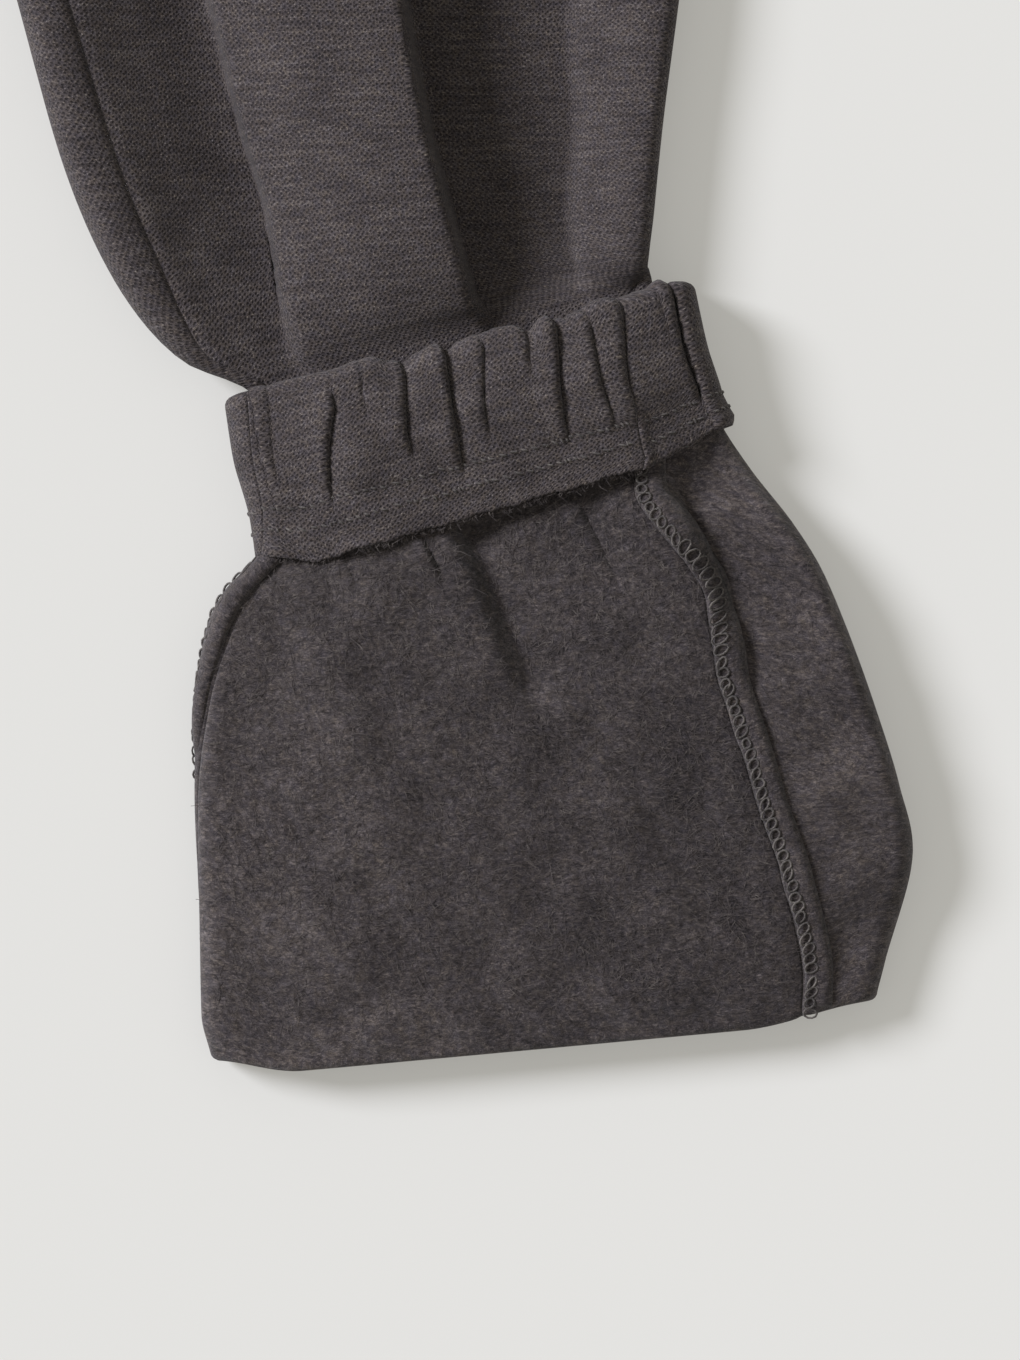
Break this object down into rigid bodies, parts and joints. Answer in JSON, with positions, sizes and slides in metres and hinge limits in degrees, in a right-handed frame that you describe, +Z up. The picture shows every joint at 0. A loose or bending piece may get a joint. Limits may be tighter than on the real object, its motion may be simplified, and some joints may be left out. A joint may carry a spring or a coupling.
{
  "type": "jogger sweatpants",
  "caption": "Jogger sweatpants laid flat, one leg's elastic hem turned up inside out to show the brushed reverse, its overlocked seam and the coverstitched casing.",
  "frame": {"origin": "under the middle of the garment's box, on the surface that it lies on", "axes": "+X to the wearer's left, +Y towards the waist, +Z up from the surface, the front facing +Z"},
  "size_m": [0.586, 1.0304, 0.0228],
  "materials": {
    "heather_knit": "warm charcoal heather pique-faced knit, matt",
    "brushed_fleece": "brushed fleece back of the same knit, soft nap",
    "sewing_thread": "spun polyester overlock and coverstitch thread"
  },
  "bodies": {
    "root": {"front_left": "heather_knit", "back_left": "heather_knit", "front_right": "heather_knit", "back_right": "heather_knit", "waistband": "heather_knit"}
  },
  "joints": []
}
